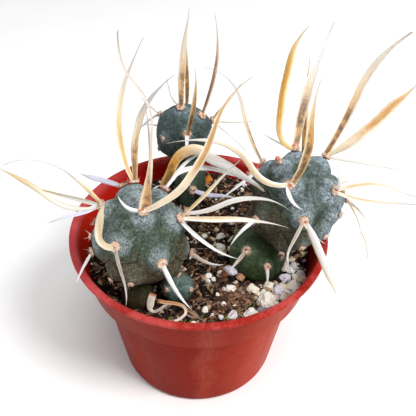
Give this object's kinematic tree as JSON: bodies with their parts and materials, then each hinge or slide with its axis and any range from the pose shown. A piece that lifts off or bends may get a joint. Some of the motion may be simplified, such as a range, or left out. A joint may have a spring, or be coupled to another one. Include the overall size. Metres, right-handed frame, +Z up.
{
  "type": "potted paper spine cactus",
  "caption": "Small cactus of ovoid blue-green segments with long flat papery spines, growing in a tapered red-brown plastic nursery pot of bark mix and pumice.",
  "frame": {"origin": "centre of the pot's underside, which is the surface it rests on", "axes": "+Z up along the pot's axis; -Y is the front, towards the left segment and the larger stones; +X is to the right, towards the right segment"},
  "size_m": [0.144, 0.1166, 0.1623],
  "materials": {
    "pot_plastic": "satin",
    "potting_mix": "matte",
    "pumice": "matte",
    "bark": "matte",
    "cactus_skin": "matte",
    "papery_spine": "satin"
  },
  "bodies": {
    "root": {"nursery_pot": "pot_plastic", "potting_mix": "potting_mix", "pumice_1": "pumice", "pumice_2": "pumice", "pumice_3": "pumice", "pumice_4": "pumice", "pumice_5": "pumice", "pumice_6": "pumice", "pumice_7": "pumice", "pumice_8": "pumice", "pumice_9": "pumice", "pumice_10": "pumice", "bark_chip": "bark", "fallen_spine": "papery_spine", "dry_sheath": "papery_spine", "left_segment": "cactus_skin", "left_stem": "cactus_skin", "left_offset": "cactus_skin", "right_segment": "cactus_skin", "right_base_segment": "cactus_skin", "back_segment": "cactus_skin", "back_base_segment": "cactus_skin", "left_spines_top_left": "papery_spine", "left_spines_top_right": "papery_spine", "left_spines_centre": "papery_spine", "left_spines_right": "papery_spine", "left_spines_shoulder": "papery_spine", "left_spines_lower_left": "papery_spine", "left_spines_lower_right": "papery_spine", "left_spines_left": "papery_spine", "left_spines_low_side": "papery_spine", "left_spines_rear_left": "papery_spine", "left_spines_rear_right": "papery_spine", "left_spines_rear": "papery_spine", "left_spines_rear_low": "papery_spine", "right_spines_top": "papery_spine", "right_spines_front": "papery_spine", "right_spines_top_right": "papery_spine", "right_spines_right": "papery_spine", "right_spines_rear_right": "papery_spine", "right_spines_left": "papery_spine", "right_spines_left_top": "papery_spine", "right_spines_lower_left": "papery_spine", "right_spines_lower": "papery_spine", "right_spines_rear": "papery_spine", "right_spines_rear_left": "papery_spine", "right_spines_rear_low": "papery_spine", "back_spines_top": "papery_spine", "back_spines_top_right": "papery_spine", "back_spines_front": "papery_spine", "back_spines_left": "papery_spine", "back_spines_right": "papery_spine", "back_spines_rear": "papery_spine", "back_spines_rear_left": "papery_spine", "back_base_spines": "papery_spine", "right_base_spines_left": "papery_spine", "right_base_spines_front": "papery_spine"}
  },
  "joints": []
}
